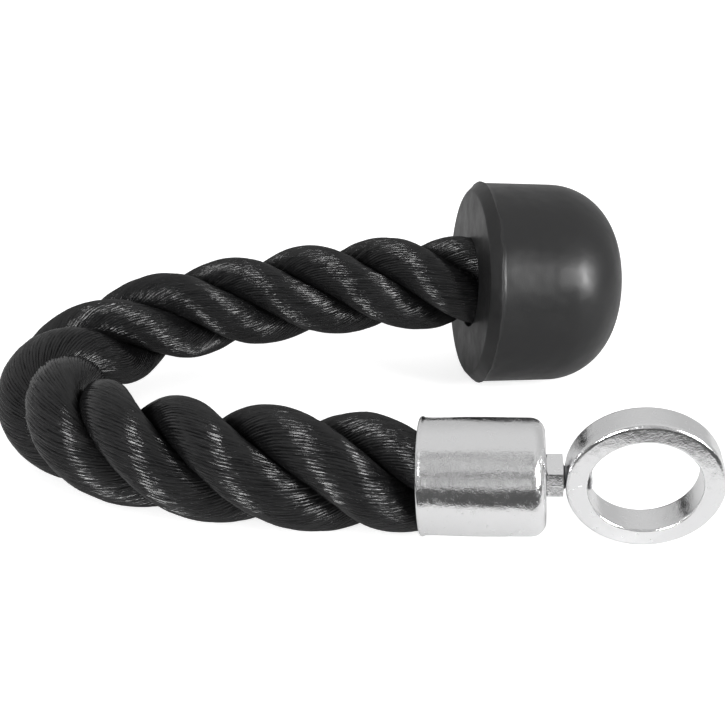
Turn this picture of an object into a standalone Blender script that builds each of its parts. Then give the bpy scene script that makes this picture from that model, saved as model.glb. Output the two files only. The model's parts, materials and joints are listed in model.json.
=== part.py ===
"""A one-hand triceps rope: a thick laid rope between a swivel eye in a steel ferrule and a rubber stopper.

Lengths are in metres and +Z is up. The part lies on the plane z = 0 as it is put down: on the rim of
its eye ring, on the bend of its rope and on the side of its stopper. Seen from -Y the swivel end is in
front and the stopper is behind it. The origin is on that plane, midway between those two ends.
"""

from math import asin, atan2, cos, pi, radians, sin, sqrt

import bpy
from mathutils import Vector
from mathutils.geometry import interpolate_bezier

# Fits
clearance = 0.0003
cut_overrun = 0.002
merge_distance = 0.00001

# Rope: three strands laid up to this radius, held here as the plain tube that they fill
rope_radius = 0.015
rope_squeeze = 0.0018
rope_taper = 0.014
rope_pinch = 0.002
rope_pinch_taper = 0.006
rope_step = 0.006
rope_side_resolution = 4

# Ferrule: a deep-drawn steel cup, swaged down on the rope's end
ferrule_length = 0.0300
ferrule_wall = 0.0012
ferrule_end_wall = 0.0016
ferrule_corner = 0.0036
ferrule_draft = 0.0002
ferrule_lip_flare = 0.0002
ferrule_lip_width = 0.0012
ferrule_waist = 0.0002
ferrule_waist_height = 0.003

# Swivel bolt, its washer and its lock nut, all M6
bolt_radius = 0.003
bolt_head_across = 0.010
bolt_head_height = 0.004
bolt_head_room = 0.0006
bolt_tip = 0.0012
bolt_tip_chamfer = 0.0005
washer_radius = 0.006
washer_thickness = 0.0016
nut_across = 0.010
nut_thickness = 0.0039
hex_chamfer = 0.0006
nut_turn = radians(-12)

# Eye ring: a short length of thick tube
ring_radius = 0.0182
ring_wall = 0.0051
ring_width = 0.0080
ring_edge = 0.0006

# Rubber stopper
stopper_length = 0.0475
stopper_lip_radius = 0.0324
stopper_lip_height = 0.0036
stopper_lip_proud = 0.0004
stopper_bevel = 0.0028
stopper_bevel_bow = 0.0004
stopper_shoulder_radius = 0.0316
stopper_corner = 0.0208
stopper_cap_radius = 0.0481
stopper_neck = 0.015
stopper_mouth_edge = 0.0008
stopper_end_room = 0.002

# Stop collar: a flanged steel sleeve crimped on the rope's end inside the stopper
collar_wall = 0.0017
collar_length = 0.015
collar_flange = 0.0025
collar_flange_width = 0.0036

# Where the two ends lie, and how they are turned
mouth_x = -0.0341
mouth_y = -0.0557
ferrule_yaw = radians(8.5)
ferrule_rise = radians(4.2)
ring_lean = radians(10.7)
stopper_x = -0.0134
stopper_y = 0.0387
stopper_yaw = radians(8)

# The rope's route from the ferrule to the stopper: x, y and the height of its underside
rope_route = [
    (-0.0643, -0.0539, 0.0010),
    (-0.0925, -0.0471, 0.0003),
    (-0.1191, -0.0346, 0.0003),
    (-0.1364, -0.0114, 0.0003),
    (-0.1343, 0.0175, 0.0008),
    (-0.1134, 0.0377, 0.0054),
    (-0.0853, 0.0444, 0.0095),
    (-0.0567, 0.0431, 0.0143),
    (-0.0363, 0.0403, 0.0168),
]

# Smoothness of the turned shapes
big_turn_steps = 64
small_turn_steps = 32
arc_steps = 6


def clear_scene():
    for obj in list(bpy.data.objects):
        bpy.data.objects.remove(obj, do_unlink=True)


def new_collection(name):
    collection = bpy.data.collections.new(name)
    bpy.context.scene.collection.children.link(collection)
    return collection


def principled(name, colour, roughness, metallic):
    material = bpy.data.materials.new(name)
    material.use_nodes = True
    shader = material.node_tree.nodes["Principled BSDF"]
    shader.inputs["Base Color"].default_value = (*colour, 1)
    shader.inputs["Roughness"].default_value = roughness
    shader.inputs["Metallic"].default_value = metallic
    return material


def add_object(name, data, collection, parent, place=(0, 0, 0), turn=(0, 0, 0)):
    obj = bpy.data.objects.new(name, data)
    obj.parent = parent
    obj.location = place
    obj.rotation_euler = turn
    collection.objects.link(obj)
    return obj


def add_frame(name, parent, place, turn):
    return add_object(name, None, parts, parent, place, turn)


def as_cutter(obj):
    obj.hide_render = True
    obj.display_type = "WIRE"
    return obj


def arc(centre, radius, start, end):
    """Points (radius from the axis, height) along an arc, both of its ends included."""
    turns = [start + (end - start) * i / arc_steps for i in range(arc_steps + 1)]
    return [(centre[0] + radius * cos(a), centre[1] + radius * sin(a)) for a in turns]


def bowed(start, end, bow):
    """Points from start to end along a shallow bow that stands out to the right of the way."""
    run = Vector(end) - Vector(start)
    out = Vector((run.y, -run.x)).normalized()
    shares = [i / arc_steps for i in range(arc_steps + 1)]
    points = [Vector(start) + run * s + out * bow * sin(pi * s) for s in shares]
    return [tuple(p) for p in points]


def turned(name, profile, steps, collection, parent, place=(0, 0, 0), turn=(0, 0, 0), closed=False):
    """A profile of (radius, height) points, outer side from the top down, turned about local Z."""
    count = len(profile)
    edges = [(i, (i + 1) % count) for i in range(count if closed else count - 1)]
    mesh = bpy.data.meshes.new(name)
    mesh.from_pydata([(r, 0, z) for r, z in profile], edges, [])
    obj = add_object(name, mesh, collection, parent, place, turn)
    screw = obj.modifiers.new("turn", "SCREW")
    screw.axis = "Z"
    screw.angle = 2 * pi
    screw.steps = steps
    screw.render_steps = steps
    screw.use_merge_vertices = True
    screw.merge_threshold = merge_distance
    screw.use_smooth_shade = True
    return obj


def boolean(obj, other, operation):
    modifier = obj.modifiers.new(operation.lower(), "BOOLEAN")
    modifier.operation = operation
    modifier.solver = "EXACT"
    modifier.object = other


def drill(name, radius, low, high, collection, parent, place=(0, 0, 0), turn=(0, 0, 0)):
    """A round cutter along local Z from low to high."""
    profile = [(0, high), (radius, high), (radius, low), (0, low)]
    return as_cutter(turned(name, profile, small_turn_steps, collection, parent, place, turn))


def hexagon(name, across, thickness, base, spin, collection, parent):
    """A six-sided prism from base upwards along local Z, with both ends chamfered by a cone."""
    corner = across / 2 / cos(pi / 6)
    bpy.ops.mesh.primitive_cylinder_add(vertices=6, radius=corner, depth=thickness)
    obj = bpy.context.object
    obj.name = name
    for linked in list(obj.users_collection):
        linked.objects.unlink(obj)
    collection.objects.link(obj)
    obj.parent = parent
    obj.location = (0, 0, base + thickness / 2)
    obj.rotation_euler = (0, 0, spin)
    edge = across / 2 - hex_chamfer / 2
    rim = corner + cut_overrun
    drop = (rim - edge) * sin(pi / 6)
    top = thickness / 2
    cone = [(0, top), (edge, top), (rim, top - drop), (rim, drop - top), (edge, -top), (0, -top)]
    cutter = turned(name + "_chamfer", cone, small_turn_steps, cutters, parent, obj.location)
    boolean(obj, as_cutter(cutter), "INTERSECT")
    return obj


def smooth_route(knots, first_way, last_way):
    """Points about rope_step apart on one smooth curve through the knots."""
    spans = [(b - a).length for a, b in zip(knots, knots[1:])]
    ways = [first_way.normalized()]
    for before, after in zip(knots, knots[2:]):
        ways.append((after - before).normalized())
    ways.append(last_way.normalized())
    points = [knots[0]]
    for i, span in enumerate(spans):
        start, end = knots[i], knots[i + 1]
        count = max(2, round(span / rope_step) + 1)
        handles = start + ways[i] * span / 3, end - ways[i + 1] * span / 3
        points += interpolate_bezier(start, *handles, end, count)[1:]
    return points


clear_scene()
parts = new_collection("triceps_rope")
cutters = new_collection("cutters")

plated_steel = principled("plated_steel", (0.78, 0.78, 0.79), 0.22, 1.0)
dull_steel = principled("dull_steel", (0.55, 0.55, 0.56), 0.4, 1.0)
black_rubber = principled("black_rubber", (0.035, 0.035, 0.036), 0.45, 0.0)
black_rope = principled("black_rope", (0.012, 0.012, 0.013), 0.5, 0.0)

# The rope's end sets the ferrule's bore, and the bore sets its outside
rope_in_ferrule = rope_radius - rope_squeeze - clearance
bore_radius = rope_in_ferrule + clearance
ferrule_radius = bore_radius + ferrule_wall
bolt_hole_radius = bolt_radius + clearance

# Heights along the ferrule's axis, from its mouth outwards
end_wall_inside = ferrule_length - ferrule_end_wall
washer_base = end_wall_inside - clearance - washer_thickness
head_base = washer_base - clearance - bolt_head_height
rope_end_depth = head_base - bolt_head_room
nut_base = ferrule_length + clearance
ring_near_side = nut_base + nut_thickness + clearance
ring_centre = ring_near_side + ring_radius
ring_bore_radius = ring_radius - ring_wall
bolt_end = ring_near_side + ring_wall + bolt_tip

# The ring stands on its rim, which sets how high the ferrule's mouth lies
ring_rest = ring_radius * cos(ring_lean) + ring_width / 2 * sin(ring_lean)
mouth_z = ring_rest - ring_centre * sin(ferrule_rise)
ferrule_place = Vector((mouth_x, mouth_y, mouth_z))
ferrule_frame = add_frame("ferrule_axis", None, ferrule_place, (0, pi / 2 - ferrule_rise, -ferrule_yaw))
swivel_frame = add_frame("swivel_axis", ferrule_frame, (0, 0, 0), (0, 0, ring_lean))
ferrule_way = Vector(
    (cos(ferrule_rise) * cos(ferrule_yaw), -cos(ferrule_rise) * sin(ferrule_yaw), sin(ferrule_rise))
)

# The stopper lies on its lip and its shoulder, which sets its droop and its height
cap_centre = stopper_length - stopper_cap_radius
corner_offset = stopper_shoulder_radius - stopper_corner
corner_rise = sqrt((stopper_cap_radius - stopper_corner) ** 2 - corner_offset**2)
corner_height = cap_centre + corner_rise
shoulder_run = corner_height - stopper_lip_height
droop = asin((stopper_lip_radius - stopper_shoulder_radius) / shoulder_run)
stopper_z = stopper_lip_radius * cos(droop) + stopper_lip_height * sin(droop)
stopper_place = Vector((stopper_x, stopper_y, stopper_z))
stopper_frame = add_frame("stopper_axis", None, stopper_place, (0, pi / 2 + droop, stopper_yaw))
stopper_way = Vector(
    (cos(droop) * cos(stopper_yaw), cos(droop) * sin(stopper_yaw), -sin(droop))
)


def make_ferrule():
    end_radius = ferrule_radius - ferrule_draft
    flat_radius = end_radius - ferrule_corner
    inner_corner = ferrule_corner - ferrule_wall
    inner_flat = bore_radius - inner_corner
    lip_radius = ferrule_radius + ferrule_lip_flare
    half_lip = ferrule_lip_width / 2
    outer = [(bolt_hole_radius, ferrule_length)]
    outer += arc((flat_radius, ferrule_length - ferrule_corner), ferrule_corner, pi / 2, 0)
    outer += [(ferrule_radius - ferrule_waist, ferrule_waist_height)]
    outer += arc((lip_radius - half_lip, half_lip), half_lip, pi / 6, -pi / 2)
    inner = [(bore_radius + half_lip / 2, 0), (bore_radius, half_lip)]
    inner += arc((inner_flat, end_wall_inside - inner_corner), inner_corner, 0, pi / 2)
    inner += [(bolt_hole_radius, end_wall_inside)]
    cup = turned("ferrule", outer + inner, big_turn_steps, parts, ferrule_frame, closed=True)
    cup.data.materials.append(plated_steel)


def make_swivel_bolt():
    shank = [
        (0, bolt_end),
        (bolt_radius - bolt_tip_chamfer, bolt_end),
        (bolt_radius, bolt_end - bolt_tip_chamfer),
        (bolt_radius, head_base + bolt_head_height / 2),
        (0, head_base + bolt_head_height / 2),
    ]
    bolt = turned("swivel_bolt", shank, small_turn_steps, parts, swivel_frame)
    head = hexagon(
        "bolt_head", bolt_head_across, bolt_head_height, head_base, 0, cutters, swivel_frame
    )
    boolean(bolt, as_cutter(head), "UNION")
    bolt.data.materials.append(dull_steel)


def make_thrust_washer():
    top = washer_base + washer_thickness
    section = [
        (washer_radius, top),
        (washer_radius, washer_base),
        (bolt_hole_radius, washer_base),
        (bolt_hole_radius, top),
    ]
    washer = turned("thrust_washer", section, small_turn_steps, parts, swivel_frame, closed=True)
    washer.data.materials.append(dull_steel)


def make_lock_nut():
    # A flat of the nut faces the front, on the ferrule's level rather than on the leaning ring's
    spin = pi / 6 + nut_turn
    nut = hexagon("lock_nut", nut_across, nut_thickness, nut_base, spin, parts, swivel_frame)
    low, high = nut_base - cut_overrun, nut_base + nut_thickness + cut_overrun
    boolean(nut, drill("nut_hole", bolt_hole_radius, low, high, cutters, swivel_frame), "DIFFERENCE")
    nut.data.materials.append(plated_steel)


def make_eye_ring():
    half, edge = ring_width / 2, ring_edge
    section = [
        (ring_radius - edge, half),
        (ring_radius, half - edge),
        (ring_radius, edge - half),
        (ring_radius - edge, -half),
        (ring_bore_radius + edge, -half),
        (ring_bore_radius, edge - half),
        (ring_bore_radius, half - edge),
        (ring_bore_radius + edge, half),
    ]
    place, turn = (0, 0, ring_centre), (pi / 2, 0, 0)
    ring = turned("eye_ring", section, big_turn_steps, parts, swivel_frame, place, turn, closed=True)
    low, high = ring_near_side - cut_overrun, ring_near_side + ring_wall + cut_overrun
    boolean(ring, drill("ring_hole", bolt_hole_radius, low, high, cutters, swivel_frame), "DIFFERENCE")
    ring.data.materials.append(plated_steel)


# Inside the stopper the rope is pinched in a sleeve, whose flange bears on the end of the neck
neck_radius = rope_radius + clearance
rope_in_collar = rope_radius - rope_pinch
sleeve_inner = rope_in_collar + clearance
sleeve_outer = sleeve_inner + collar_wall
flange_radius = sleeve_outer + collar_flange_width
flange_base = stopper_neck + clearance
flange_top = flange_base + collar_flange
collar_top = flange_base + collar_length


def make_rubber_stopper():
    tangent = atan2(corner_rise, corner_offset)
    face_radius = stopper_lip_radius - stopper_bevel
    body_radius = stopper_lip_radius - stopper_lip_proud
    sleeve_room = sleeve_outer + clearance
    flange_room = flange_radius + clearance
    flange_room_top = flange_top + clearance
    end = collar_top + stopper_end_room
    outer = arc((0, cap_centre), stopper_cap_radius, pi / 2, tangent)[:-1]
    outer += arc((corner_offset, corner_height), stopper_corner, tangent, 0)
    outer += [(body_radius, stopper_lip_height + 2 * stopper_lip_proud)]
    outer += bowed((stopper_lip_radius, stopper_lip_height), (face_radius, 0), -stopper_bevel_bow)
    inner = [
        (neck_radius + stopper_mouth_edge, 0),
        (neck_radius, stopper_mouth_edge),
        (neck_radius, stopper_neck),
        (flange_room, stopper_neck),
        (flange_room, flange_room_top),
        (sleeve_room, flange_room_top),
        (sleeve_room, end),
        (0, end),
    ]
    stopper = turned("rubber_stopper", outer + inner, big_turn_steps, parts, stopper_frame)
    stopper.data.materials.append(black_rubber)


def make_stop_collar():
    section = [
        (sleeve_outer, collar_top),
        (sleeve_outer, flange_top),
        (flange_radius, flange_top),
        (flange_radius, flange_base),
        (sleeve_inner, flange_base),
        (sleeve_inner, collar_top),
    ]
    collar = turned("stop_collar", section, small_turn_steps, parts, stopper_frame, closed=True)
    collar.data.materials.append(dull_steel)


def make_rope():
    """One tube from inside the ferrule to inside the collar, narrower where it is gripped."""
    knots = [ferrule_place]
    knots += [Vector((x, y, rope_radius + lift)) for x, y, lift in rope_route]
    knots += [stopper_place]
    free = smooth_route(knots, -ferrule_way, stopper_way)
    path = [(ferrule_place + ferrule_way * rope_end_depth, rope_in_ferrule)]
    gone = 0
    for i, point in enumerate(free):
        gone += (point - free[i - 1]).length if i else 0
        share = min(1, gone / rope_taper)
        path.append((point, rope_in_ferrule + (rope_radius - rope_in_ferrule) * share))
    pinch_start = stopper_neck - rope_pinch_taper
    for depth, radius in (
        (pinch_start, rope_radius),
        (stopper_neck, rope_in_collar),
        (collar_top, rope_in_collar),
    ):
        path.append((stopper_place + stopper_way * depth, radius))
    curve = bpy.data.curves.new("rope", "CURVE")
    curve.dimensions = "3D"
    curve.bevel_depth = rope_radius
    curve.bevel_resolution = rope_side_resolution
    curve.use_fill_caps = True
    spline = curve.splines.new("POLY")
    spline.points.add(len(path) - 1)
    for point, (place, radius) in zip(spline.points, path):
        point.co = (*place, 1)
        point.radius = radius / rope_radius
    spline.use_smooth = True
    rope = add_object("rope", curve, parts, None)
    rope.data.materials.append(black_rope)


make_ferrule()
make_swivel_bolt()
make_thrust_washer()
make_lock_nut()
make_eye_ring()
make_rubber_stopper()
make_stop_collar()
make_rope()
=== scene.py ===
import json
from math import cos, pi, radians, sin

import bpy
import numpy as np
from mathutils import Euler, Matrix, Vector
from mathutils.geometry import interpolate_bezier


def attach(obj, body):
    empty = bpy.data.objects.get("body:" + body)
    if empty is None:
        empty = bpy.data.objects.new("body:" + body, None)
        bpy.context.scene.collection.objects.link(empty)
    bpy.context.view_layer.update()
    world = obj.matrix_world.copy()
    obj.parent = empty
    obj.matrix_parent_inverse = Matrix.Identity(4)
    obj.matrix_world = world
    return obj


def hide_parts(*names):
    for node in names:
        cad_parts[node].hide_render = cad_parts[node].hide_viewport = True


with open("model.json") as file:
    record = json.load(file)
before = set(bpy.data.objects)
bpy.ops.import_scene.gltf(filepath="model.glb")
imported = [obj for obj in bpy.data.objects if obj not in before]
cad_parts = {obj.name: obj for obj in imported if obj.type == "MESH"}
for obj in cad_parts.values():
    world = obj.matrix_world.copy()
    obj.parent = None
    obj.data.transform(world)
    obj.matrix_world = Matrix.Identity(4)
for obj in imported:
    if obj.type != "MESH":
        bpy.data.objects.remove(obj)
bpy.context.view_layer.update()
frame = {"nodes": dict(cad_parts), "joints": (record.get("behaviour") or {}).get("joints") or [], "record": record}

bpy.ops.object.select_all(action="DESELECT")
bpy.context.scene.view_settings.view_transform = "Standard"


# The camera stands a little above the bench, in front of the rope's bend, and looks along +Y and down,
# from where the photograph was taken.
picture_pixels = 725
focal_pixels = 1000
sensor_width = 36
degrees_down = 23.16
camera_data = bpy.data.cameras.new("camera")
camera_data.sensor_width = sensor_width
camera_data.lens = sensor_width * focal_pixels / picture_pixels
camera = bpy.data.objects.new("camera", camera_data)
camera.location = (-0.0483, -0.2691, 0.1361)
camera.rotation_euler = (radians(90 - degrees_down), 0, 0)
bpy.context.scene.collection.objects.link(camera)
bpy.context.scene.camera = camera


# The rope is three strands of black polypropylene yarn, laid right-handed and about 30 mm thick. Each
# strand is twisted against the lay, so its yarns come out nearly in line with the rope. One end is
# swaged into the ferrule, and the other is crimped in a collar inside the stopper.
rope_route = [
    (-0.0341, -0.0557, 0.0148),
    (-0.0643, -0.0539, 0.0160),
    (-0.0925, -0.0471, 0.0153),
    (-0.1191, -0.0346, 0.0153),
    (-0.1364, -0.0114, 0.0153),
    (-0.1343, 0.0175, 0.0158),
    (-0.1134, 0.0377, 0.0204),
    (-0.0853, 0.0444, 0.0245),
    (-0.0567, 0.0431, 0.0293),
    (-0.0363, 0.0403, 0.0318),
    (-0.0134, 0.0387, 0.0325),
]
rope_in_ferrule = 0.0216
rope_in_stopper = 0.0303
ferrule_way = Vector(frame["joints"][0]["axis"])
mounts = {mount["name"]: mount for mount in frame["record"]["mounts"]}
stopper_way = -Vector(mounts["stopper_face"]["axis"])

# The rope's middle is a smooth curve through the route, with a straight end in each fitting
points_per_span = 16
knots = [Vector(point) for point in rope_route]
ways = [-ferrule_way] + [(b - a).normalized() for a, b in zip(knots, knots[2:])] + [stopper_way]
rope_line = [knots[0] + ferrule_way * rope_in_ferrule]
for start, end, start_way, end_way in zip(knots, knots[1:], ways, ways[1:]):
    reach = (end - start).length / 3
    handles = (start + start_way * reach, end - end_way * reach)
    rope_line += interpolate_bezier(start, *handles, end, points_per_span)[:-1]
rope_line += [knots[-1], knots[-1] + stopper_way * rope_in_stopper]

# Rings stand evenly along the rope, each with its place and its two cross directions
ring_count = 240
line = np.array(rope_line)
gone = np.concatenate([[0], np.cumsum(np.linalg.norm(np.diff(line, axis=0), axis=1))])
ring_at = np.linspace(0, gone[-1], ring_count)
ring_place = np.stack([np.interp(ring_at, gone, line[:, k]) for k in range(3)], axis=1)
along = np.gradient(ring_place, axis=0)
along /= np.linalg.norm(along, axis=1)[:, None]
up = np.array([0.0, 0.0, 1.0])
ring_up = []
for way in along:
    up = up - way * (up @ way)
    up /= np.linalg.norm(up)
    ring_up.append(up)
ring_up = np.array(ring_up)
ring_side = np.cross(along, ring_up)
out_of_ferrule = ring_at - rope_in_ferrule
into_stopper = ring_at - (gone[-1] - rope_in_stopper)

# The fittings squeeze the rope. Each pair is a distance past the fitting's mouth and the share of the
# rope's size that is left there.
ferrule_grip = [(0, 0.88), (0.014, 1)]
stopper_grip = [(-0.006, 1), (0.001, 0.955), (0.009, 0.94), (0.015, 0.867)]
squeeze = np.interp(out_of_ferrule, *zip(*ferrule_grip))
squeeze = np.minimum(squeeze, np.interp(into_stopper, *zip(*stopper_grip)))

# The lay is even in the two straight runs, and the bend adds a little twist, in degrees, to it
lay_start = radians(-33.8)
lay_rate = radians(4700)
bend_twist = [(0.045, 0), (0.066, 7.4), (0.1605, 24.6)]
strand_turn = lay_start + lay_rate * out_of_ferrule
strand_turn += np.radians(np.interp(out_of_ferrule, *zip(*bend_twist)))

# A strand is an oval, its depth and width measured from its own middle, and its yarns are ridges in it
strand_count = 3
strand_centre = 0.008
strand_depth = 0.007
strand_width = 0.0083
strand_gap = 0.00005
yarn_count = 56
yarn_rate = -143
yarn_relief = 0.00027
yarn_wander = 0.0001
wander_step = 0.011

# The yarns are spaced evenly along the oval's outline, so its turn is read from the way gone round it
oval_points = 721
oval_turn = np.linspace(0, 2 * pi, oval_points)
oval_step = np.hypot(strand_depth * np.sin(oval_turn), strand_width * np.cos(oval_turn))
oval_share = np.cumsum(oval_step) - oval_step[0]
oval_share *= 2 * pi / oval_share[-1]

vertices, faces, corners = [], [], []
dice = np.random.default_rng(5)
column_count = 2 * yarn_count
column = np.arange(column_count)
wander_knots = np.arange(0, gone[-1] + 2 * wander_step, wander_step)
for strand in range(strand_count):
    # Each yarn stands a little proud or low, which changes slowly along the rope
    drift = dice.normal(0, yarn_wander, (yarn_count, len(wander_knots)))
    drift = np.stack([np.interp(ring_at, wander_knots, row) for row in drift], axis=1)
    drift = (drift[:, column // 2] + drift[:, (column + 1) // 2 % yarn_count]) / 2
    proud = drift + yarn_relief * (column % 2 - 0.5)

    # The outline is cut off where the strand lies against the other two
    around = np.mod(2 * pi * column / column_count + yarn_rate * ring_at[:, None], 2 * pi)
    around = np.interp(around, oval_share, oval_turn)
    x = strand_centre + (strand_depth + proud) * np.cos(around)
    y = (strand_width + proud) * np.sin(around)
    room = np.maximum(x * np.tan(pi / strand_count) - strand_gap, strand_gap)
    y = np.clip(y, -room, room)

    turn = strand_turn + 2 * pi * strand / strand_count
    outward = np.cos(turn)[:, None] * ring_up + np.sin(turn)[:, None] * ring_side
    sideways = np.cos(turn)[:, None] * ring_side - np.sin(turn)[:, None] * ring_up
    shell = x[..., None] * outward[:, None] + y[..., None] * sideways[:, None]
    first = len(vertices)
    vertices += (ring_place[:, None] + squeeze[:, None, None] * shell).reshape(-1, 3).tolist()

    # The UV map counts yarns across, and millimetres along the rope
    ring, col = np.meshgrid(np.arange(ring_count - 1), column, indexing="ij")
    ring, col = ring.ravel(), col.ravel()
    after = (col + 1) % column_count
    low, high = first + ring * column_count, first + (ring + 1) * column_count
    faces += np.stack([low + col, low + after, high + after, high + col], axis=1).tolist()
    u = np.stack([col, col + 1, col + 1, col], axis=1) / 2 + strand * yarn_count
    v = ring_at[np.stack([ring, ring, ring + 1, ring + 1], axis=1)] * 1000
    corners += np.stack([u, v], axis=2).reshape(-1, 2).tolist()
    faces += [[first + i for i in reversed(range(column_count))]]
    faces += [[first + (ring_count - 1) * column_count + i for i in range(column_count)]]
    corners += [(0.0, 0.0)] * (2 * column_count)

rope_mesh = bpy.data.meshes.new("laid_rope")
rope_mesh.from_pydata(vertices, [], faces)
uv_map = rope_mesh.uv_layers.new(name="yarns")
uv_map.data.foreach_set("uv", np.array(corners, np.float32).ravel())
rope_mesh.shade_smooth()
rope = bpy.data.objects.new("laid_rope", rope_mesh)
bpy.context.scene.collection.objects.link(rope)


def new_material(name, colour, roughness, metallic=0.0):
    """A material, with the nodes, links and shader that its finish is built on."""
    material = bpy.data.materials.new(name)
    material.use_nodes = True
    nodes, links = material.node_tree.nodes, material.node_tree.links
    shader = nodes["Principled BSDF"]
    shader.inputs["Base Color"].default_value = (*colour, 1)
    shader.inputs["Roughness"].default_value = roughness
    shader.inputs["Metallic"].default_value = metallic
    return material, nodes, links, shader


def math_node(nodes, links, operation, first, second=0.0):
    """The result of an operation on one or two values, each a number or what another node gives."""
    node = nodes.new("ShaderNodeMath")
    node.operation = operation
    for socket, value in zip(node.inputs, (first, second)):
        if isinstance(value, (int, float)):
            socket.default_value = value
        else:
            links.new(value, socket)
    return node.outputs[0]


def noise_node(nodes, links, place, cells, detail, roughness=0.5):
    """Noise with a number of cells for each unit of its place, along each axis."""
    spread = nodes.new("ShaderNodeMapping")
    spread.inputs["Scale"].default_value = cells
    links.new(place, spread.inputs["Vector"])
    noise = nodes.new("ShaderNodeTexNoise")
    noise.inputs["Scale"].default_value = 1
    noise.inputs["Detail"].default_value = detail
    noise.inputs["Roughness"].default_value = roughness
    links.new(spread.outputs["Vector"], noise.inputs["Vector"])
    return noise.outputs["Fac"]


def bump_node(nodes, links, height, distance, under=None):
    """Relief of this height, in metres, laid over the relief under it."""
    bump = nodes.new("ShaderNodeBump")
    bump.inputs["Distance"].default_value = distance
    links.new(height, bump.inputs["Height"])
    if under:
        links.new(under, bump.inputs["Normal"])
    return bump.outputs["Normal"]


# Smooth fibres that lie along the yarns draw each glint out across them
yarn_material, nodes, links, shader = new_material("black_yarn", (0.012, 0.012, 0.013), 0.24)
shader.inputs["Specular IOR Level"].default_value = 0.43
shader.inputs["Anisotropic"].default_value = 0.85
across_yarn = nodes.new("ShaderNodeTangent")
across_yarn.direction_type = "UV_MAP"
across_yarn.uv_map = "yarns"
links.new(across_yarn.outputs["Tangent"], shader.inputs["Tangent"])
yarn_uv = nodes.new("ShaderNodeUVMap")
yarn_uv.uv_map = "yarns"
yarn_place = yarn_uv.outputs["UV"]

# Each yarn is round and a little uneven, and so are the fibres in it
split = nodes.new("ShaderNodeSeparateXYZ")
links.new(yarn_place, split.inputs["Vector"])
tooth = math_node(nodes, links, "PINGPONG", split.outputs["X"], 0.5)
crown = math_node(nodes, links, "SINE", math_node(nodes, links, "MULTIPLY", tooth, pi))
normal = bump_node(nodes, links, crown, 0.00022)
for across, lengthways, height in ((1.1, 0.15, 0.0006), (3.5, 0.3, 0.0001)):
    unevenness = noise_node(nodes, links, yarn_place, (across, lengthways, 1), 2)
    normal = bump_node(nodes, links, unevenness, height, normal)
links.new(normal, shader.inputs["Normal"])
shade = nodes.new("ShaderNodeMix")
shade.data_type = "RGBA"
shade.inputs["A"].default_value = (0.002, 0.002, 0.0022, 1)
shade.inputs["B"].default_value = (0.007, 0.007, 0.0073, 1)
links.new(noise_node(nodes, links, yarn_place, (0.9, 0.05, 1), 3), shade.inputs["Factor"])
links.new(shade.outputs["Result"], shader.inputs["Base Color"])
rope_mesh.materials.append(yarn_material)

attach(rope, "root")
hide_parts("rope")


# The ferrule is a deep-drawn steel cup with a rolled lip, a hole in its closed end and bright zinc
# plating. Pressing it down on the rope's end left its wall a little uneven.
ferrule_rise = radians(4.2)
ferrule_swing = radians(8.5)
ferrule_turn = Euler((0, pi / 2 - ferrule_rise, -ferrule_swing)).to_matrix().to_4x4()
ferrule_place = Matrix.Translation((-0.0341, -0.0557, 0.014767)) @ ferrule_turn
ferrule_length = 0.0300
ferrule_corner = 0.0036
lip_roll = 0.0006
inside_corner = 0.0024
end_inside = 0.0284
bolt_hole = 0.0033


def arc(centre_radius, centre_height, size, start, end, count):
    """Points (radius, height) along an arc of a turned piece's outline."""
    turns = np.linspace(radians(start), radians(end), count + 1)
    return [(centre_radius + size * cos(t), centre_height + size * sin(t)) for t in turns]


def turn_piece(name, outline, steps, closed=False):
    """A circle extruded and resized along an outline of (radius, height) points about the Z axis."""
    radius, height = outline[0]
    fill = "TRIFAN" if closed else "NOTHING"
    bpy.ops.mesh.primitive_circle_add(
        vertices=steps, radius=radius, fill_type=fill, location=(0, 0, height)
    )
    piece = bpy.context.object
    piece.name = name
    bpy.ops.object.mode_set(mode="EDIT")
    bpy.ops.mesh.select_all(action="SELECT")
    if closed:
        bpy.ops.mesh.region_to_loop()
    for next_radius, next_height in outline[1:]:
        bpy.ops.mesh.extrude_region_move(
            TRANSFORM_OT_translate={"value": (0, 0, next_height - height)}
        )
        share = next_radius / radius
        bpy.ops.transform.resize(value=(share, share, 1), center_override=(0, 0, next_height))
        radius, height = next_radius, next_height
    if closed:
        bpy.ops.mesh.merge(type="CENTER")
    bpy.ops.mesh.select_all(action="SELECT")
    bpy.ops.mesh.remove_doubles(threshold=0.00001)
    bpy.ops.mesh.normals_make_consistent(inside=False)
    bpy.ops.object.mode_set(mode="OBJECT")
    bpy.ops.object.transform_apply(location=True, rotation=True, scale=True)
    return piece


def finish_piece(piece, place, material, body, node):
    """Puts a finished piece in its place in the frame, gives it its material and body, and hides the CAD part that
    it stands in for.
    """
    bpy.ops.object.select_all(action="DESELECT")
    piece.select_set(True)
    bpy.context.view_layer.objects.active = piece
    bpy.ops.object.shade_smooth_by_angle(angle=radians(30))
    piece.modifiers.new("even_normals", "WEIGHTED_NORMAL").keep_sharp = True
    bpy.ops.object.modifier_apply(modifier="even_normals")
    piece.matrix_world = place
    bpy.ops.object.transform_apply(location=True, rotation=True, scale=True)
    piece.data.materials.clear()
    piece.data.materials.append(material)
    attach(piece, body)
    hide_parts(node)


def object_noise(nodes, links, cells, detail, roughness=0.5):
    """Noise fixed to the piece, with a number of cells for each metre."""
    place = nodes.new("ShaderNodeTexCoord").outputs["Object"]
    return noise_node(nodes, links, place, (cells, cells, cells), detail, roughness)


def ramp(nodes, links, value, start, end, low, high):
    """Low where a value is at start, high where it is at end, and evenly between."""
    span = nodes.new("ShaderNodeMapRange")
    for name, number in (("From Min", start), ("From Max", end), ("To Min", low), ("To Max", high)):
        span.inputs[name].default_value = number
    links.new(value, span.inputs["Value"])
    return span.outputs["Result"]


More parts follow.
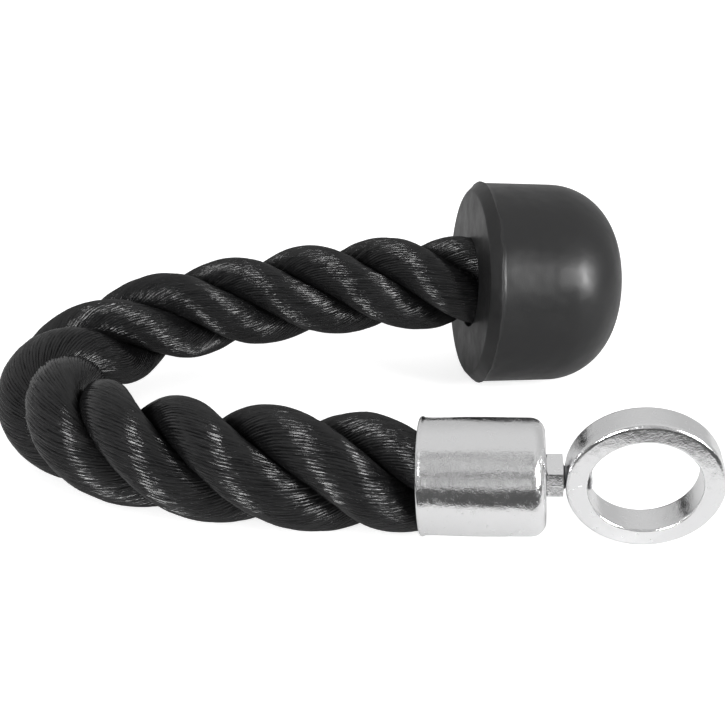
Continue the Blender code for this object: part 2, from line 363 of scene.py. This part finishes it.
def plated(name, colour, smoothest, roughest, dents, grain):
    """Zinc plating: shallow dents a few millimetres wide, a fine grain and small dull spots."""
    material, nodes, links, shader = new_material(name, colour, roughest, 1.0)
    normal = bump_node(nodes, links, object_noise(nodes, links, 300, 2), dents)
    normal = bump_node(nodes, links, object_noise(nodes, links, 2600, 3), grain, normal)
    links.new(normal, shader.inputs["Normal"])
    spots = object_noise(nodes, links, 500, 6, roughness=0.8)
    links.new(ramp(nodes, links, spots, 0.4, 0.62, smoothest, roughest), shader.inputs["Roughness"])
    return material


bright_plating = plated("bright_plating", (0.86, 0.86, 0.865), 0.05, 0.28, 0.0001, 0.00004)
outline = [(bolt_hole, ferrule_length - 0.0001), (0.0034, ferrule_length), (0.0100, ferrule_length)]
outline += arc(0.0106, ferrule_length - ferrule_corner, ferrule_corner, 90, 0, 12)
outline += [(0.01426, 0.0215), (0.01436, 0.0160), (0.01437, 0.0105), (0.01428, 0.0060)]
outline += [(0.0142, 0.0030), (0.01428, 0.0016), *arc(0.0140, lip_roll, lip_roll, 45, -90, 6)]
outline += [(0.0136, 0), (0.0133, 0.0004), (0.0132, 0.0010), (0.0132, 0.0259)]
outline += arc(0.0108, 0.0260, inside_corner, 0, 90, 6)
outline += [(0.0100, end_inside), (0.0034, end_inside), (bolt_hole, 0.0285)]
ferrule = turn_piece("drawn_ferrule", outline + outline[:1], 160)
finish_piece(ferrule, ferrule_place, bright_plating, "root", "ferrule")


# The eye is a short length of thick steel tube, its four edges rounded, with a hole for the bolt through
# one wall. A punch mark beside the hole keeps the bolt from turning. It leans back a little.
eye_lean = radians(10.7)
eye_distance = 0.0527
eye_radius = 0.0182
eye_bore = 0.0131
eye_half_width = 0.0040
outer_edge = 0.0011
inner_edge = 0.0007


def combine(piece, other, operation):
    """Cuts another mesh off a piece, keeps what both hold or joins the two, and removes the other."""
    boolean = piece.modifiers.new("combine", "BOOLEAN")
    boolean.operation = operation
    boolean.object = other
    bpy.context.view_layer.objects.active = piece
    bpy.ops.object.modifier_apply(modifier="combine")
    bpy.data.objects.remove(other)


swivel_place = ferrule_place @ Matrix.Rotation(eye_lean, 4, "Z")
eye_turn = Matrix.Rotation(pi / 2, 4, "X")
eye_place = swivel_place @ Matrix.Translation((0, 0, eye_distance)) @ eye_turn
outer, outer_side = eye_radius - outer_edge, eye_half_width - outer_edge
inner, inner_side = eye_bore + inner_edge, eye_half_width - inner_edge
outline = arc(outer, outer_side, outer_edge, 90, 0, 8) + arc(outer, -outer_side, outer_edge, 0, -90, 8)
outline += arc(inner, -inner_side, inner_edge, -90, -180, 6)
outline += arc(inner, inner_side, inner_edge, 180, 90, 6)
eye = turn_piece("steel_eye", outline + outline[:1], 192)
bpy.ops.mesh.primitive_cylinder_add(
    vertices=48, radius=bolt_hole, depth=0.009, location=(0, -0.0155, 0), rotation=(pi / 2, 0, 0)
)
combine(eye, bpy.context.object, "DIFFERENCE")

# The punch left a shallow dent with three corners
bpy.ops.mesh.primitive_cone_add(
    vertices=3,
    radius1=0.0019,
    radius2=0.0021,
    depth=0.0002,
    location=(-0.0007, -0.0165, eye_half_width),
    rotation=(0, 0, -2.1),
)
combine(eye, bpy.context.object, "DIFFERENCE")
finish_piece(eye, eye_place, bright_plating, "swivel", "eye_ring")


# The lock nut is an M6 hex nut, 10 mm across its flats, with the corners of both faces chamfered. Its
# thread was cut half a millimetre off its middle. It is screwed down between the ferrule and the eye.
nut_distance = 0.0323
nut_half = 0.00215
nut_off_middle = -0.0005
nut_turn = pi / 6 - radians(12)
hex_corner = 0.0057735
bpy.ops.mesh.primitive_cylinder_add(
    vertices=6,
    radius=hex_corner,
    depth=2 * nut_half,
    location=(nut_off_middle, 0, 0),
    rotation=(0, 0, nut_turn),
)
nut = bpy.context.object
nut.name = "hex_lock_nut"
bpy.ops.object.transform_apply(location=True, rotation=True, scale=True)
chamfers = [(0.0052, -nut_half), (0.0062, -0.0016), (0.0062, 0.0016), (0.0052, nut_half)]
cone = turn_piece("nut_cone", chamfers, 96, closed=True)
cone.location.x = nut_off_middle
bore = turn_piece("nut_bore", [(bolt_hole, -0.003), (bolt_hole, 0.003)], 48, closed=True)
combine(nut, cone, "INTERSECT")
combine(nut, bore, "DIFFERENCE")
soften = nut.modifiers.new("soften", "BEVEL")
soften.width = 0.00012
soften.segments = 2
soften.angle_limit = radians(35)
bpy.ops.object.modifier_apply(modifier="soften")
nut_place = swivel_place @ Matrix.Translation((0, 0, nut_distance))
finish_piece(nut, nut_place, bright_plating, "swivel", "lock_nut")


# The swivel bolt is an M6 hex bolt of plain zinc-plated steel. Its head turns inside the ferrule, and
# its threaded tip stands a little way into the eye.
head_middle = 0.0242
head_height = 0.004
shank_radius = 0.0030
thread_start = 0.0302
thread_pitch = 0.001
thread_turns = 10
thread_crest, thread_root = 0.00297, 0.00255
bpy.ops.mesh.primitive_cylinder_add(
    vertices=6, radius=hex_corner, depth=head_height, location=(0, 0, head_middle)
)
bolt = bpy.context.object
bolt.name = "hex_bolt"
bpy.ops.object.transform_apply(location=True, rotation=True, scale=True)
outline = [(shank_radius, 0.0260), (shank_radius, 0.0300)]
for turn in range(thread_turns):
    height = thread_start + turn * thread_pitch
    outline += [(thread_crest, height), (thread_root, height + 0.0004), (0.00262, height + 0.0006)]
outline += [(thread_crest, 0.0403), (0.0025, 0.0408), (0.0012, 0.0408)]
shank = turn_piece("bolt_shank", outline, 64, closed=True)
combine(bolt, shank, "UNION")
dull_zinc = plated("dull_zinc", (0.62, 0.62, 0.63), 0.25, 0.45, 0.00006, 0.00002)
finish_piece(bolt, swivel_place, dull_zinc, "swivel", "swivel_bolt")


# The thrust washer and the stop collar are plain zinc-plated turned parts, one under the bolt's head
# and the other crimped on the rope's end. Both are hidden when the attachment is assembled.
for name in ("thrust_washer", "stop_collar"):
    piece = frame["nodes"][name]
    piece.data.materials.clear()
    piece.data.materials.append(dull_zinc)


# The stopper is one moulding of black rubber, held on by the collar inside it. It has a flat face round
# the rope, a bevel up to the mould's uneven parting line, a slightly tapered body and a domed end.
stopper_dip = radians(2.1965)
stopper_yaw = radians(6.5)
stopper_turn = Euler((0, pi / 2 + stopper_dip, stopper_yaw)).to_matrix().to_4x4()
stopper_place = Matrix.Translation((-0.0134, 0.0387, 0.032514)) @ stopper_turn
stopper_bore = 0.0141
face_height = -0.0007
lip_from, lip_to = 0.0016, 0.0036
corner_radius = 0.0208
cap_radius = 0.0481
cap_from = 66.7
outline = [(stopper_bore, 0.0335), (stopper_bore, -0.0003), (0.0142, -0.0006)]
outline += [(0.0145, face_height), (0.0289, face_height)]
outline += [(0.0294, -0.0006), (0.0299, -0.0003), (0.0308, 0.0006), (0.0317, 0.0015)]
outline += [(0.0322, 0.0020), (0.0324, 0.0023), (0.0323, 0.0026), (0.0320, 0.0030), (0.0319, 0.0037)]
outline += [(0.0318, 0.0120), (0.0317, 0.0190)]
outline += arc(0.0108, 0.0245, corner_radius, 0, cap_from, 20)
outline += arc(0, -0.0006, cap_radius, cap_from, 89, 12)[1:]
stopper = turn_piece("moulded_stopper", outline, 200, closed=True)
lip = stopper.vertex_groups.new(name="lip")
lip.add([v.index for v in stopper.data.vertices if lip_from < v.co.z < lip_to], 1, "REPLACE")
waves = bpy.data.textures.new("lip_waves", "CLOUDS")
waves.noise_scale = 0.006
uneven = stopper.modifiers.new("uneven", "DISPLACE")
uneven.texture = waves
uneven.direction = "Z"
uneven.strength = 0.0012
uneven.vertex_group = "lip"
bpy.ops.object.modifier_apply(modifier="uneven")

# The rubber is a little wavy and scuffed from handling
rubber, nodes, links, shader = new_material("moulded_rubber", (0.011, 0.011, 0.0113), 0.34)
shader.inputs["Specular IOR Level"].default_value = 0.36
normal = bump_node(nodes, links, object_noise(nodes, links, 70, 2), 0.0006)
normal = bump_node(nodes, links, object_noise(nodes, links, 2500, 2), 0.000015, normal)
links.new(normal, shader.inputs["Normal"])
scuffs = object_noise(nodes, links, 110, 5, roughness=0.7)
links.new(ramp(nodes, links, scuffs, 0.38, 0.62, 0.33, 0.42), shader.inputs["Roughness"])
finish_piece(stopper, stopper_place, rubber, "root", "rubber_stopper")


# The bench is a white top. It glows a little to the camera alone, which keeps it white in the picture
# and leaves only a faint shadow on it.
bench_glow = 0.7
bpy.ops.mesh.primitive_plane_add(size=8, location=(0, 0, -0.0002))
floor = bpy.context.object
floor.name = "floor"
floor_material, nodes, links, shader = new_material("white_bench", (0.67, 0.67, 0.67), 0.9)
shader.inputs["Specular IOR Level"].default_value = 0
paths = nodes.new("ShaderNodeLightPath")
shader.inputs["Emission Color"].default_value = (1, 1, 1, 1)
in_picture = math_node(nodes, links, "MULTIPLY", paths.outputs["Is Camera Ray"], bench_glow)
links.new(in_picture, shader.inputs["Emission Strength"])
floor.data.materials.append(floor_material)


# A dark card lies on the bench under the camera, the edge away from the part raised. It shows only in
# reflections, as the dark band along the ferrule.
bpy.ops.mesh.primitive_plane_add(size=1, location=(0, -0.345, 0.033))
card = bpy.context.object
card.name = "dark_card"
card.scale = (1.4, 0.5, 1)
card.rotation_euler = (-0.13, 0, 0)
bpy.ops.object.transform_apply(location=True, rotation=True, scale=True)
card_material, nodes, links, shader = new_material("dark_card", (0.08, 0.08, 0.08), 0.9)
shader.inputs["Specular IOR Level"].default_value = 0
card.data.materials.append(card_material)
card.visible_camera = False
card.visible_diffuse = False
card.visible_shadow = False


# The room is light above, a little less so low down behind, and mottled on the camera's side, as the
# steel shows it. The camera itself sees plain white all round.
world = bpy.data.worlds.new("studio")
bpy.context.scene.world = world
world.use_nodes = True
nodes, links = world.node_tree.nodes, world.node_tree.links
look = nodes.new("ShaderNodeTexCoord").outputs["Generated"]
split = nodes.new("ShaderNodeSeparateXYZ")
links.new(look, split.inputs["Vector"])
mottling = noise_node(nodes, links, look, (16, 9, 9), 5)
shade = nodes.new("ShaderNodeMix")
links.new(ramp(nodes, links, split.outputs["Y"], -0.2, -0.3, 0, 1), shade.inputs["Factor"])
links.new(ramp(nodes, links, split.outputs["Z"], 0.5, 0.9, 0.56, 0.7), shade.inputs["A"])
links.new(ramp(nodes, links, mottling, 0.48, 0.53, 0.14, 0.85), shade.inputs["B"])
paths = nodes.new("ShaderNodeLightPath")
backdrop = math_node(nodes, links, "MAXIMUM", shade.outputs["Result"], paths.outputs["Is Camera Ray"])
links.new(backdrop, nodes["Background"].inputs["Color"])


# Two soft lights stand at the right and the left of the camera, and a weak one hangs above. The left one
# is kept off the ferrule, so that it doesn't hide the room in the steel there.
lit_from_left = bpy.data.collections.new("lit_from_left")
lit_from_left.objects.link(ferrule)
lit_from_left.collection_objects[0].light_linking.link_state = "EXCLUDE"
for name, place, aim, width, height, power, in_steel in (
    ("right_light", (0.63, -0.55, 0.33), (-0.03, 0, 0.02), 0.26, 0.36, 8.5, True),
    ("left_light", (-0.49, -0.76, 0.26), (-0.03, 0, 0.02), 0.2, 0.3, 6, True),
    ("top_light", (0.0, 0.1, 2.0), (0, 0, 0), 2.0, 2.0, 4, False),
):
    lamp_data = bpy.data.lights.new(name, "AREA")
    lamp_data.shape = "RECTANGLE"
    lamp_data.size = width
    lamp_data.size_y = height
    lamp_data.energy = power
    lamp = bpy.data.objects.new(name, lamp_data)
    lamp.location = place
    lamp.rotation_euler = (Vector(aim) - Vector(place)).to_track_quat("-Z", "Y").to_euler()
    lamp.visible_glossy = in_steel
    if name == "left_light":
        lamp.light_linking.receiver_collection = lit_from_left
    bpy.context.scene.collection.objects.link(lamp)
